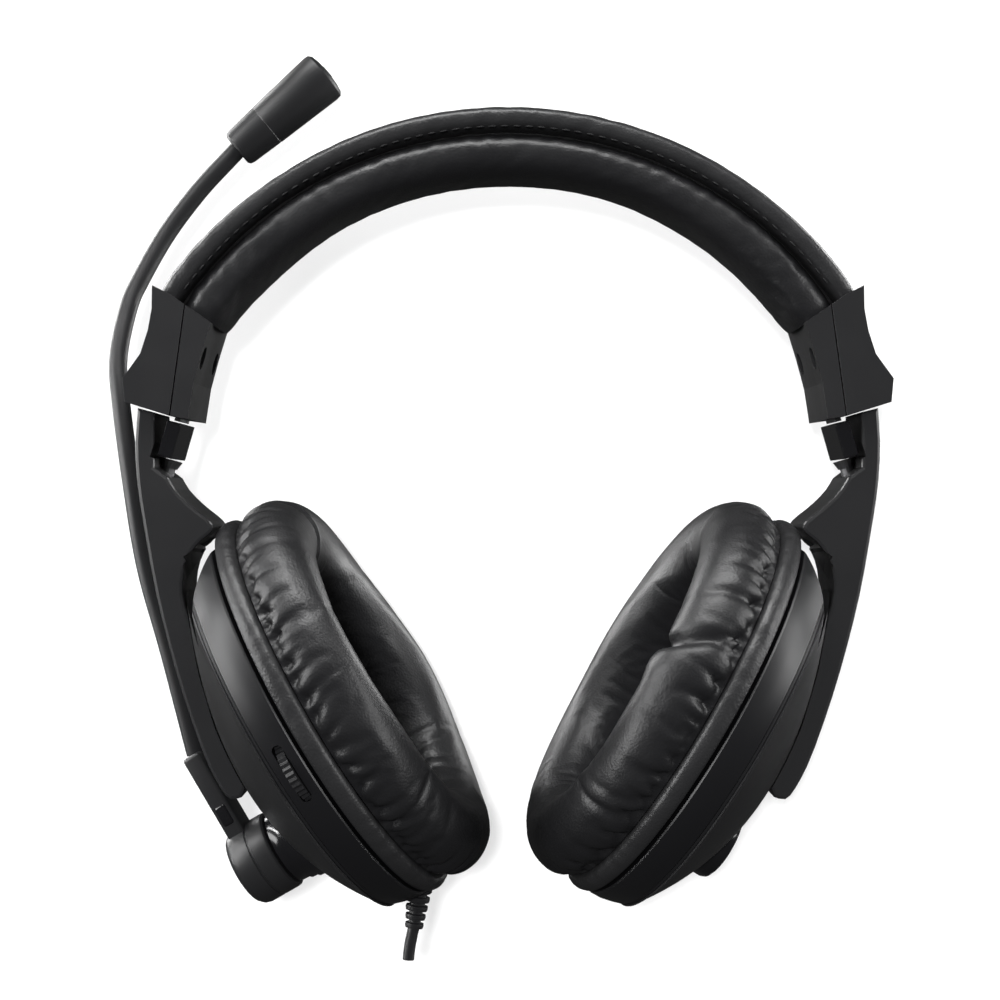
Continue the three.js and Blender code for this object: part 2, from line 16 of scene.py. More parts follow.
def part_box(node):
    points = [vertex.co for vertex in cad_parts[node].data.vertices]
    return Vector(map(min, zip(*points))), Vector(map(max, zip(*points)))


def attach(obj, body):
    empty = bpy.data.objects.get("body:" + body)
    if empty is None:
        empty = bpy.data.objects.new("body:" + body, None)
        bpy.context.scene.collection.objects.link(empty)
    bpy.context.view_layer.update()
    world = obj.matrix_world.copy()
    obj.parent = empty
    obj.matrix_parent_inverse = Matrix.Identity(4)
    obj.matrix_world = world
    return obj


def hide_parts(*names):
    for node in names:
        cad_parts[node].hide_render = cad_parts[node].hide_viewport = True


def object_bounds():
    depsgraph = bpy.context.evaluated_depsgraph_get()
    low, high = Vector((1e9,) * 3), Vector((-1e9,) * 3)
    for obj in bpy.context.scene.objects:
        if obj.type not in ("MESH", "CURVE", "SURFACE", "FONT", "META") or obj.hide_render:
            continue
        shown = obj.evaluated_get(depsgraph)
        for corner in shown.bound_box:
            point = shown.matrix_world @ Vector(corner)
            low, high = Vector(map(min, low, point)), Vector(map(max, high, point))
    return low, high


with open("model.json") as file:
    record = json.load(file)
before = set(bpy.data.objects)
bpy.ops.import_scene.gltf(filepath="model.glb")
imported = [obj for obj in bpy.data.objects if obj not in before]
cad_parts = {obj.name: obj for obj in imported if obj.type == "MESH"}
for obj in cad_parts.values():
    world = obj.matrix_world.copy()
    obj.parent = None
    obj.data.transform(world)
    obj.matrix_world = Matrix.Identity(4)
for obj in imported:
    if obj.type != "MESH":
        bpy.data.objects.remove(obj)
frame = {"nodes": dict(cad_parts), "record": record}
cad_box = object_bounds()
nodes = frame["nodes"]

MM = 0.001
SIDES = {"left": -1, "right": 1}  # the sign of X on each side

# ---- Driving dimensions, in millimetres ----
ARC_CENTRE_Z = 40.1  # centre of the headband's arc above the line of the ears
BAND_OUTER_R = 100.8
BAND_END = 55.5  # half-angle of the soft part of the headband, in degrees
CUP_CENTRE = Vector((44.5, 0, -4))
CUP_TILT = math.radians(30.5)
CUP_TOE_OUT = math.radians(6)
OVAL = 0.845  # short side of the cup over its long side
DOME_START = 8.7
DOME_TOP = 25.0
DOME_R = 49.5
DOME_LEAN = -0.35
HUB_DROP = 24.3
MERGE_DISTANCE = 1e-6  # points closer than this, in metres, are joined

cover_low, cover_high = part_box("headband_top_cover")
MIDDLE = Vector(
    (
        (cover_low.x + cover_high.x) / 2,
        (cover_low.y + cover_high.y) / 2,
        cover_high.z - (ARC_CENTRE_Z + BAND_OUTER_R) * MM,
    )
)


def side_frame(sign):
    """Side frame in millimetres to the row frame in metres."""
    return Matrix.Translation(MIDDLE) @ Matrix.Diagonal((sign * MM, MM, MM, 1))


def cup_frame(sign):
    """Cup frame in millimetres to the row frame in metres."""
    turn = Matrix.Rotation(CUP_TILT, 4, "Y") @ Matrix.Rotation(CUP_TOE_OUT, 4, "Z")
    return side_frame(sign) @ Matrix.Translation(CUP_CENTRE) @ turn


# ---- Materials ----
def material(name, color, roughness, **inputs):
    """A new principled material. Returns it with its node tree and shader node."""
    made = bpy.data.materials.new(name)
    made.use_nodes = True
    shader = made.node_tree.nodes["Principled BSDF"]
    shader.inputs["Base Color"].default_value = (*color, 1)
    shader.inputs["Roughness"].default_value = roughness
    for key, value in inputs.items():
        shader.inputs[key.replace("_", " ")].default_value = value
    return made, made.node_tree, shader


def texture(tree, kind, scale, **settings):
    """A texture node read in object coordinates."""
    node = tree.nodes.new(kind)
    node.inputs["Scale"].default_value = scale
    for key, value in settings.items():
        if key in node.inputs:
            node.inputs[key].default_value = value
        else:
            setattr(node, key, value)
    where = tree.nodes.new("ShaderNodeTexCoord")
    tree.links.new(where.outputs["Object"], node.inputs["Vector"])
    return node


def bump(tree, shader, height, strength, distance):
    """Adds a bump from a height socket, on top of any bump the shader already has."""
    node = tree.nodes.new("ShaderNodeBump")
    node.inputs["Strength"].default_value = strength
    node.inputs["Distance"].default_value = distance
    tree.links.new(height, node.inputs["Height"])
    normal = shader.inputs["Normal"]
    if normal.links:
        tree.links.new(normal.links[0].from_socket, node.inputs["Normal"])
    tree.links.new(node.outputs["Normal"], normal)


def vary_roughness(tree, shader, scale, low, high):
    """Roughness that wanders between low and high, as handled plastic and leather do."""
    noise = texture(tree, "ShaderNodeTexNoise", scale, Detail=4.0)
    span = tree.nodes.new("ShaderNodeMapRange")
    span.inputs["From Min"].default_value = 0.35
    span.inputs["From Max"].default_value = 0.65
    span.inputs["To Min"].default_value = low
    span.inputs["To Max"].default_value = high
    tree.links.new(noise.outputs["Fac"], span.inputs["Value"])
    tree.links.new(span.outputs["Result"], shader.inputs["Roughness"])


def leather(name, color, low, high, grain):
    made, tree, shader = material(name, color, low, Specular_IOR_Level=0.5)
    pebbles = texture(tree, "ShaderNodeTexVoronoi", 1900, feature="SMOOTH_F1")
    bump(tree, shader, pebbles.outputs["Distance"], grain, 0.00012)
    creases = texture(tree, "ShaderNodeTexNoise", 420, Detail=5.0, Roughness=0.6)
    bump(tree, shader, creases.outputs["Fac"], 0.25 * grain / 0.3, 0.00025)
    vary_roughness(tree, shader, 90, low, high)
    return made


def plastic(name, color, low, high, texture_strength=0.0):
    made, tree, shader = material(name, color, low)
    vary_roughness(tree, shader, 60, low, high)
    if texture_strength:
        spark = texture(tree, "ShaderNodeTexNoise", 3500, Detail=2.0)
        bump(tree, shader, spark.outputs["Fac"], texture_strength, 0.00005)
    return made


def metal(name, color, roughness):
    made, tree, shader = material(name, color, roughness, Metallic=1.0)
    vary_roughness(tree, shader, 60, roughness, roughness + 0.06)
    return made


def cloth(name, color):
    made, tree, shader = material(name, color, 0.9)
    weave = texture(tree, "ShaderNodeTexVoronoi", 1500, feature="F1", distance="CHEBYCHEV")
    bump(tree, shader, weave.outputs["Distance"], 0.8, 0.0003)
    return made


LEATHER = leather("leatherette", (0.0055, 0.0055, 0.006), 0.38, 0.48, 0.4)
# A lighter copy of the leatherette for the headband cover and the cushion skirts: painted sheen.
SHEEN_PAINTED_LEATHER = leather("leatherette_painted_sheen", (0.01, 0.01, 0.0105), 0.36, 0.46, 0.55)
THREAD = plastic("thread", (0.004, 0.004, 0.0045), 0.6, 0.7)
SATIN = plastic("satin_plastic", (0.009, 0.009, 0.0095), 0.32, 0.4, 0.12)
# A darker copy of the satin plastic for the domes: painted shade that dulls their reflection.
SHADE_PAINTED_DOME_SATIN = plastic("dome_plastic_painted_shade", (0.007, 0.007, 0.0075), 0.38, 0.46, 0.06)
GLOSS = plastic("gloss_plastic", (0.004, 0.004, 0.0045), 0.14, 0.2)
BAND_BLACK = plastic("band_plastic", (0.004, 0.004, 0.0045), 0.34, 0.4)
SOFT_BLACK = plastic("soft_black_plastic", (0.0065, 0.0065, 0.007), 0.4, 0.48, 0.1)
STEEL = metal("steel", (0.36, 0.36, 0.37), 0.36)
# A near-black copy of the steel for the screws: painted shade for their dark countersunk holes.
SHADE_PAINTED_SCREW_STEEL = metal("black_steel", (0.03, 0.03, 0.032), 0.35)
MAGNET = metal("magnet", (0.32, 0.32, 0.33), 0.35)
CLOTH = cloth("acoustic_cloth", (0.01, 0.01, 0.0105))
BOARD = plastic("circuit_board", (0.03, 0.12, 0.05), 0.4, 0.5)
BY_SLOT = {
    "leatherette": LEATHER,
    "satin_plastic": SATIN,
    "gloss_plastic": GLOSS,
    "soft_black_plastic": SOFT_BLACK,
    "steel": STEEL,
    "magnet": MAGNET,
    "cloth": CLOTH,
    "board": BOARD,
}


# ---- Mesh helpers ----
def piece(name, points, faces, matrix, finish, sharp=40):
    """A new mesh object from points in millimetres, with doubles merged and faces turned out.

    Edges steeper than sharp degrees stay sharp.
    """
    mesh = bpy.data.meshes.new(name)
    mesh.from_pydata([matrix @ Vector(point) for point in points], [], faces)
    editable = bmesh.new()
    editable.from_mesh(mesh)
    bmesh.ops.remove_doubles(editable, verts=editable.verts, dist=MERGE_DISTANCE)
    bmesh.ops.recalc_face_normals(editable, faces=editable.faces)
    editable.to_mesh(mesh)
    editable.free()
    mesh.shade_smooth()
    mesh.set_sharp_from_angle(angle=math.radians(sharp))
    mesh.materials.append(finish)
    made = bpy.data.objects.new(name, mesh)
    bpy.context.scene.collection.objects.link(made)
    return made


def grid_faces(rows, columns, close_rows, close_columns):
    """Quads over a grid of points stored row by row."""
    faces = []
    for i in range(rows if close_rows else rows - 1):
        for j in range(columns if close_columns else columns - 1):
            a = i * columns + j
            b = i * columns + (j + 1) % columns
            c = (i + 1) % rows * columns + (j + 1) % columns
            d = (i + 1) % rows * columns + j
            faces.append((a, b, c, d))
    return faces


def smooth_profile(points, steps):
    """A Catmull-Rom curve through points, with steps pieces between neighbours."""
    line = np.array(points, float)
    padded = np.vstack([2 * line[0] - line[1], line, 2 * line[-1] - line[-2]])
    made = []
    for i in range(len(line) - 1):
        a, b, c, d = padded[i : i + 4]
        for t in np.arange(steps) / steps:
            squared = (2 * a - 5 * b + 4 * c - d) * t**2
            cubed = (3 * b - a - 3 * c + d) * t**3
            made.append(0.5 * (2 * b + (c - a) * t + squared + cubed))
    made.append(line[-1])
    return np.array(made)


def revolved(
    name, profile, matrix, finish, segments, oval=1.0, lean=0.0, close=False, sharp=40
):
    """A profile of (radius, p) pairs turned about the p axis. lean shifts it along q with p."""
    points = []
    for radius, p in profile:
        for i in range(segments):
            angle = 2 * math.pi * i / segments
            y = -radius * oval * math.sin(angle)
            q = radius * math.cos(angle) + lean * (p - DOME_START)
            points.append((p, y, q))
    faces = grid_faces(len(profile), segments, close, True)
    return piece(name, points, faces, matrix, finish, sharp)


def box_piece(name, size, centre, matrix, finish, bevel=0.6):
    """A bevelled box, size and centre in millimetres."""
    made = bmesh.new()
    bmesh.ops.create_cube(made, size=1)
    bmesh.ops.scale(made, vec=size, verts=made.verts)
    bmesh.ops.translate(made, vec=centre, verts=made.verts)
    bmesh.ops.bevel(made, geom=made.edges, offset=bevel, segments=3, profile=0.5, affect="EDGES")
    points = [v.co.copy() for v in made.verts]
    faces = [[v.index for v in face.verts] for face in made.faces]
    made.free()
    return piece(name, points, faces, matrix, finish)


def tube(name, path, radius, matrix, finish, segments):
    """A round tube along a list of points, closed at both ends."""
    path = [Vector(point) for point in path]
    points = []
    for i, point in enumerate(path):
        ahead = path[min(i + 1, len(path) - 1)] - path[max(i - 1, 0)]
        across = ahead.cross(Vector((0, 1, 0))).normalized()
        up = across.cross(ahead).normalized()
        for k in range(segments):
            angle = 2 * math.pi * k / segments
            points.append(point + radius * (math.cos(angle) * across + math.sin(angle) * up))
    faces = grid_faces(len(path), segments, False, True)
    faces.append(tuple(range(segments)))
    faces.append(tuple(range((len(path) - 1) * segments, len(path) * segments)))
    return piece(name, points, faces, matrix, finish)


def cut(made, cutter):
    """Takes cutter's shape out of a piece, and removes the cutter."""
    change = made.modifiers.new("cut", "BOOLEAN")
    change.object = cutter
    change.solver = "EXACT"
    bake(made)
    made.data.set_sharp_from_angle(angle=math.radians(35))
    bpy.data.objects.remove(cutter)


def bake(made):
    """Applies the modifiers of a piece to its mesh."""
    bpy.context.view_layer.update()
    evaluated = made.evaluated_get(bpy.context.evaluated_depsgraph_get())
    mesh = bpy.data.meshes.new_from_object(evaluated)
    made.modifiers.clear()
    made.data = mesh


def stand_for(made, body, slot, *cad_nodes):
    """The piece rides on a body and hides the CAD nodes it stands for. The slot argument is not
    used.
    """
    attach(made, body)
    if cad_nodes:
        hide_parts(*cad_nodes)
    return made


def point_places(mesh):
    places = np.zeros(len(mesh.vertices) * 3)
    mesh.vertices.foreach_get("co", places)
    return places.reshape(-1, 3)


def swell(made, pinned, pressure, growth, cap, frames=16):
    """Blows a soft shape up as cloth, held at the pinned points, and keeps the result.

    No point moves further than cap, in metres.
    """
    mesh = made.data
    before = point_places(mesh)
    group = made.vertex_groups.new(name="pinned")
    group.add([int(i) for i in pinned], 1.0, "REPLACE")
    change = made.modifiers.new("cloth", "CLOTH")
    settings = change.settings
    settings.quality = 6
    settings.mass = 0.05
    settings.tension_stiffness = 12
    settings.compression_stiffness = 12
    settings.shear_stiffness = 4
    settings.bending_stiffness = 0.05
    settings.use_pressure = True
    settings.uniform_pressure_force = pressure
    settings.shrink_min = -growth
    settings.vertex_group_mass = "pinned"
    settings.effector_weights.gravity = 0
    change.point_cache.frame_start = 1
    change.point_cache.frame_end = frames
    for step in range(1, frames + 1):
        bpy.context.scene.frame_set(step)
    evaluated = made.evaluated_get(bpy.context.evaluated_depsgraph_get())
    moved = point_places(evaluated.data) - before
    length = np.linalg.norm(moved, axis=1, keepdims=True)
    moved *= np.minimum(1, cap / np.maximum(length, 1e-9))
    made.modifiers.clear()
    made.vertex_groups.clear()
    mesh.vertices.foreach_set("co", (before + moved).ravel())
    mesh.update()
    bpy.context.scene.frame_set(1)


# ---- Headband ----
def band_frame():
    """(angle in degrees, radius, y) to the row frame, for the headband's arc."""
    base = side_frame(1)

    def place(angle, radius, y):
        a = math.radians(angle)
        return base @ Vector((radius * math.sin(a), y, ARC_CENTRE_Z + radius * math.cos(a)))

    return place


ARC_RINGS = 260
ARC_AROUND = 48
END_TAPER = 3.5  # the last degrees at each end, where the roll slims
END_SLIM = 0.07  # how much it slims there


def soft_arc(name, centre_r, half_thick, half_wide, roundness, wrinkle, finish):
    """A padded roll along the headband.

    wrinkle(angle, turn) gives how far a point stands proud, in millimetres.
    """
    rings, around = ARC_RINGS, ARC_AROUND
    place = band_frame()
    points = []
    for i in range(rings):
        angle = -BAND_END + 2 * BAND_END * i / (rings - 1)
        end = max(0.0, (abs(angle) - (BAND_END - END_TAPER)) / END_TAPER)
        slim = 1 - END_SLIM * end**2
        for k in range(around):
            turn = 2 * math.pi * k / around
            c, s = math.cos(turn), math.sin(turn)
            y = half_wide * slim * math.copysign(abs(c) ** (2 / roundness), c)
            r = half_thick * slim * math.copysign(abs(s) ** (2 / roundness), s)
            proud = wrinkle(angle, turn) * (1 - end)
            points.append(place(angle, centre_r + r + proud * s, y + proud * c))
    faces = grid_faces(rings, around, False, True)
    faces.append(tuple(range(around)))
    faces.append(tuple(range((rings - 1) * around, rings * around)))
    return piece(name, points, faces, Matrix.Identity(4), finish)


def waves(seed, count, low, high):
    """A fixed sum of sines: fn(x) is about between -1 and 1."""
    chance = np.random.default_rng(seed)
    rates = chance.uniform(low, high, count)
    phases = chance.uniform(0, 2 * math.pi, count)
    return lambda x: float(np.sin(rates * x + phases).sum() / math.sqrt(count)) * 0.8


def build_headband():
    broad = waves(3, 5, 0.08, 0.3)
    fine = waves(4, 6, 0.9, 1.8)
    pucker = waves(5, 5, 1.6, 2.6)

    def pad_wrinkle(angle, turn):
        back_seam = math.exp(-(((turn - math.pi) * 1.6 + 1.2) ** 2))
        near_seam = back_seam + math.exp(-((turn * 1.6 - 1.2) ** 2))
        waviness = 0.16 * broad(angle + 4 * turn) + 0.04 * fine(angle + 6 * turn)
        return waviness + 0.1 * near_seam * pucker(angle)

    def cover_wrinkle(angle, turn):
        return 0.06 * fine(angle + 3 * turn) + 0.08 * broad(angle)

    pad = soft_arc("headband_pad_leather", 89.15, 5.65, 14.0, 2.9, pad_wrinkle, LEATHER)
    rings, around = ARC_RINGS, ARC_AROUND
    held = [i for i in range(rings * around) if i < 2 * around or i >= (rings - 2) * around]
    seam_columns = (8, 9, 15, 16)  # points around the roll where the pad meets the cover
    held += [i * around + k for i in range(rings) for k in seam_columns]
    swell(pad, held, 0.5, 0.003, 0.5 * MM, frames=10)
    stand_for(pad, "headband", "leatherette", "headband_pad")
    name = "headband_cover_leather"
    # The cover takes the lighter leatherette: painted sheen.
    cover = soft_arc(name, 97.7, 3.15, 14.5, 3.2, cover_wrinkle, SHEEN_PAINTED_LEATHER)
    stand_for(cover, "headband", "leatherette", "headband_top_cover")
    build_stitches()


STITCH_STEP = 1.75  # degrees from one stitch to the next
STITCH_SHARE = 0.6  # length of a stitch over the step
STITCH_END = 53.5  # half-angle where the rows stop
STITCH_PLACE = (95.35, 14.0)  # radius, and distance from the middle plane
THREAD_R = 0.22


def stitch(a, b, out):
    """Points of one raised stitch from a to b, thin at both ends, and its faces."""
    segments, rings = 6, 5
    along = b - a
    across = along.cross(out).normalized()
    points = []
    for k in range(rings):
        share = k / (rings - 1)
        r = THREAD_R * MM * math.sin(math.pi * (0.12 + 0.76 * share))
        for n in range(segments):
            turn = 2 * math.pi * n / segments
            points.append(a + along * share + r * (math.cos(turn) * across + math.sin(turn) * out))
    faces = grid_faces(rings, segments, False, True)
    faces.append(tuple(range(segments)))
    faces.append(tuple(range((rings - 1) * segments, rings * segments)))
    return points, faces


def build_stitches():
    """Two rows of thread along the cover, one at the front and one at the back."""
    place = band_frame()
    radius, y = STITCH_PLACE
    points, faces = [], []
    for way in (-1, 1):
        for i in range(int(2 * STITCH_END / STITCH_STEP)):
            angle = -STITCH_END + i * STITCH_STEP
            a = place(angle, radius, way * y)
            b = place(angle + STITCH_SHARE * STITCH_STEP, radius, way * y)
            new_points, new_faces = stitch(a, b, Vector((0, way, 0)))
            faces += [tuple(len(points) + v for v in face) for face in new_faces]
            points += new_points
    made = piece("headband_stitches", points, faces, Matrix.Identity(4), THREAD)
    stand_for(made, "headband", "leatherette")


# ---- Ear cushions ----
SOFT_SHARP = 75  # a soft surface shades smoothly up to this angle, in degrees
SEAM_R = 46.0  # mean radius of the seam, to turn angles into millimetres
INNER_SEAM_R = 31
PAD_PROFILE = [
    (48.7, -5.4),
    (50.3, -7.8),
    (50.7, -11.2),
    (49.2, -15.4),
    (45.8, -18.8),
    (41.2, -20.4),
    (36.8, -19.9),
    (32.9, -17.4),
    (30.9, -14.2),
    (30.4, -9.8),
    (30.9, -5.6),
]
SKIRT_PROFILE = [
    (48.6, -0.4),
    (50.5, -0.6),
    (51.2, -2.6),
    (50.6, -4.5),
    (48.9, -5.2),
    (46.5, -4.8),
]


def pucker_field(seed, count, spread):
    """Valleys that start at a seam: arrays of their angles, depths, reaches, widths and slants.

    spread gives the usual depth, reach and width.
    """
    chance = np.random.default_rng(seed)
    angles = (np.arange(count) + chance.uniform(-0.35, 0.35, count)) * 2 * math.pi / count
    depths = spread[0] * chance.uniform(0.35, 1.25, count)
    reaches = spread[1] * chance.uniform(0.5, 1.6, count)
    widths = spread[2] * chance.uniform(0.7, 1.4, count)
    slants = chance.uniform(-0.35, 0.35, count)
    return angles, depths, reaches, widths, slants


def pucker_depth(field, angle, along, radius=SEAM_R):
    """How deep a field's valleys are at an angle and a distance from the seam."""
    angles, depths, reaches, widths, slants = field
    away = (angle - angles + math.pi) % (2 * math.pi) - math.pi
    away = away * radius - slants * along
    valley = np.exp(-((away / widths) ** 2)) * np.exp(-((along / reaches) ** 2))
    return float((depths * valley).sum())


def build_cushion(side, sign):
    segments = 384
    profile = smooth_profile(PAD_PROFILE, 5)
    steps = np.linalg.norm(np.diff(profile, axis=0), axis=1)
    along = np.concatenate([[0], np.cumsum(steps)])
    total = along[-1]
    tangent = np.gradient(profile, axis=0)
    normal = np.stack([-tangent[:, 1], tangent[:, 0]], axis=1)
    normal /= np.linalg.norm(normal, axis=1, keepdims=True)
    seed = 20 + sign
    gathers = pucker_field(seed, 84, (1.75, 4.4, 0.85))
    folds = pucker_field(seed + 10, 38, (1.1, 8.0, 1.2))
    inner = pucker_field(seed + 20, 60, (0.45, 7.0, 1.0))
    swing = waves(seed + 30, 4, 2.0, 6.0)
    points = []
    for ring, (radius, p) in enumerate(profile):
        share = along[ring] / total
        middle = math.sin(math.pi * share) ** 2
        for i in range(segments):
            angle = 2 * math.pi * i / segments
            sink = pucker_depth(gathers, angle, along[ring])
            sink += pucker_depth(folds, angle, along[ring])
            sink += pucker_depth(inner, angle, total - along[ring], INNER_SEAM_R)
            sink -= 0.5 * middle * swing(angle)
            if sign > 0:
                sink += big_fold(angle, share)
            sink *= min(1.0, along[ring] / 1.2)
            r = radius - normal[ring][0] * sink
            height = p - normal[ring][1] * sink
            points.append((height, -r * OVAL * math.sin(angle), r * math.cos(angle)))
    faces = grid_faces(len(profile), segments, False, True)
    made = piece(f"ear_cushion_pad_{side}", points, faces, cup_frame(sign), LEATHER, SOFT_SHARP)
    last = (len(profile) - 1) * segments
    ends = [*range(2 * segments), *range(last, last + segments)]
    swell(made, ends, 0.3, 0.008, 0.9 * MM)
    stand_for(made, f"cup_{side}", "leatherette", f"ear_cushion_{side}")
    build_skirt(side, sign, seed)


def big_fold(angle, share):
    """The deep crease across the +X cushion, with a swollen roll beside it."""
    at = math.radians(64) + 0.16 * math.sin(3.0 * share)
    away = (angle - at) * SEAM_R
    across = math.sin(math.pi * min(1.0, share * 1.05)) ** 0.6
    crease = 2.3 * math.exp(-((away / 1.9) ** 2))
    roll = 0.9 * math.exp(-(((away - 6.5) / 4.5) ** 2))
    return across * (crease - roll)


def build_skirt(side, sign, seed):
    """The plain band between the pad's seam and the shell, gathered slightly at the seam."""
    segments = 256
    profile = smooth_profile(SKIRT_PROFILE, 4)
    gathers = pucker_field(seed, 72, (0.4, 2.4, 1.2))
    ripple = waves(seed + 40, 4, 5.0, 14.0)
    points = []
    for ring, (radius, p) in enumerate(profile):
        for i in range(segments):
            angle = 2 * math.pi * i / segments
            sink = pucker_depth(gathers, angle, abs(p + 5.2)) + 0.06 * ripple(angle)
            r = radius - (sink if p < -1 else 0)
            points.append((p, -r * OVAL * math.sin(angle), r * math.cos(angle)))
    faces = grid_faces(len(profile), segments, False, True)
    name = f"ear_cushion_skirt_{side}"
    # The skirt takes the lighter leatherette: painted sheen.
    made = piece(name, points, faces, cup_frame(sign), SHEEN_PAINTED_LEATHER, SOFT_SHARP)
    stand_for(made, f"cup_{side}", "leatherette")


# ---- Cup shells ----
WINDOW = [(72.7, 20), (72.6, 26), (70.6, 33), (67.6, 38.6)]
WINDOW_START = (71.2, 12.6)
WINDOW_BACK = [(70.6, 42), (80, 40), (78, 28)]
CUP_SEGMENTS = 192
HUB_SEGMENTS = 96
ROUND_SEGMENTS = 24


def window_cutter(sign):
    """A prism through the see-through gap between the arm and the top of the cup."""
    outline = [tuple(point) for point in smooth_profile([WINDOW_START] + WINDOW, 8)] + WINDOW_BACK
    count = len(outline)
    points = [(u, y, z) for y in (-60, 60) for u, z in outline]
    faces = [tuple(range(count)), tuple(range(count, 2 * count))]
    for i in range(count):
        j = (i + 1) % count
        faces.append((i, j, count + j, count + i))
    return piece("window_cutter", points, faces, side_frame(sign), GLOSS)


def dome_height(radius):
    return DOME_START + (DOME_TOP - DOME_START) * (1 - (radius / DOME_R) ** 2)


def build_shells(side, sign):
    band_profile = [
        (45.0, 0.45),
        (50.2, 0.45),
        (50.6, 0.8),
        (50.6, 3.0),
        (50.1, 5.6),
        (49.5, 7.7),
        (49.0, 8.0),
        (46.9, 8.0),
        (48.3, 2.7),
        (45.0, 2.5),
    ]
    place = cup_frame(sign)
    name = f"cup_band_{side}"
    band = revolved(
        name, band_profile, place, BAND_BLACK, CUP_SEGMENTS, OVAL, close=True, sharp=25
    )
    cut(band, window_cutter(sign))
    if side == "left":
        cut(band, wheel_slot_cutter(sign))
    stand_for(band, f"cup_{side}", "gloss_plastic", f"front_shell_{side}")

    radii = np.linspace(0, DOME_R - 0.6, 26)
    outer = [(r, dome_height(r)) for r in radii]
    outer += [(DOME_R - 0.15, DOME_START + 0.35), (DOME_R - 0.3, DOME_START + 0.05)]
    inner = [(r * 0.955, dome_height(r) - 1.9) for r in radii[:-1]][::-1]
    profile = outer + [(DOME_R - 2.2, DOME_START)] + inner
    name = f"cup_dome_{side}"
    # The domes take the darker satin plastic: painted shade.
    dome = revolved(
        name, profile, place, SHADE_PAINTED_DOME_SATIN, CUP_SEGMENTS, OVAL, DOME_LEAN, sharp=30
    )
    cut(dome, window_cutter(sign))
    stand_for(dome, f"cup_{side}", "satin_plastic", f"rear_shell_{side}")

    lip = [(47.6, 8.0), (48.9, 8.05), (48.9, 8.65), (47.6, 8.7)]
    name = f"cup_groove_{side}"
    groove = revolved(name, lip, place, SOFT_BLACK, CUP_SEGMENTS, OVAL, close=True)
    cut(groove, window_cutter(sign))
    stand_for(groove, f"cup_{side}", "soft_black_plastic")


WHEEL_SLOT = {"size": (2.7, 14, 14.6), "centre": (4.4, -41, -7.0), "bevel": 1.1}


def wheel_slot_cutter(sign):
    """A rounded block through the front shell's wall, where the volume wheel shows."""
    size, centre, bevel = WHEEL_SLOT.values()
    return box_piece("slot_cutter", size, centre, cup_frame(sign), GLOSS, bevel)


# ---- Microphone ----
def hub_frame(sign):
    return cup_frame(sign) @ Matrix.Translation((0, 0, -HUB_DROP))


def build_microphone():
    sign = SIDES["left"]
    collar = [
        (0, 17.0),
        (11.4, 17.0),
        (11.0, 19.4),
        (10.5, 19.8),
        (10.4, 21.4),
        (9.9, 21.8),
        (9.8, 23.4),
        (9.3, 23.8),
        (9.2, 26.1),
        (8.8, 26.4),
        (0, 26.4),
    ]
    made = revolved("mic_hub_collar", collar, hub_frame(sign), GLOSS, HUB_SEGMENTS, sharp=50)
    stand_for(made, "cup_left", "gloss_plastic")

    drum = [
        (0, 26.8),
        (9.4, 26.8),
        (9.9, 27.2),
        (10.0, 28.0),
        (10.0, 31.3),
        (9.7, 31.5),
        (9.7, 31.8),
        (10.0, 32.0),
        (10.0, 35.4),
        (9.6, 36.7),
        (8.7, 37.7),
        (7.2, 38.2),
        (0, 38.35),
    ]
    made = revolved("mic_hub_drum", drum, hub_frame(sign), SATIN, HUB_SEGMENTS, sharp=35)
    stand_for(made, "mic_boom", "satin_plastic", "mic_boom_hub")

    length = 31.0
    arm_p = 33.9
    arm = ((4.6, 9.5, length), (arm_p, 0, length / 2))
    made = box_piece("mic_hub_arm", *arm, hub_frame(sign), SATIN, 0.9)
    stand_for(made, "mic_boom", "satin_plastic")
    ridge = ((1.4, 2.6, length - 8), (36.3, 0, length / 2 + 1))
    made = box_piece("mic_hub_ridge", *ridge, hub_frame(sign), SATIN, 0.5)
    stand_for(made, "mic_boom", "satin_plastic")
    latch = ((3.0, 10.3, 5.4), (arm_p, 0, 14.4))
    made = box_piece("mic_hub_latch", *latch, hub_frame(sign), GLOSS, 0.7)
    stand_for(made, "mic_boom", "gloss_plastic")
    build_boom(sign)


# Centreline of the gooseneck, as (u, y, z) in the side frame.
BOOM_PATH = [
    (76.5, 3.5, -15.5),
    (83, 3.5, 9.4),
    (88.9, 3.8, 30.5),
    (92.7, 5, 51.9),
    (96, 8.5, 72.3),
    (97, 11.5, 82.6),
    (95.3, 16, 95.2),
    (92.6, 18.5, 102.6),
    (86.6, 21.5, 114.3),
    (78.6, 23, 125.5),
    (69.2, 23.5, 135.8),
]
CAPSULE_ALONG = Vector((-0.76, 0, 0.65)).normalized()
BOOM_R = 2.3
NECK_OVERLAP = 1.6  # how far the gooseneck runs into the capsule


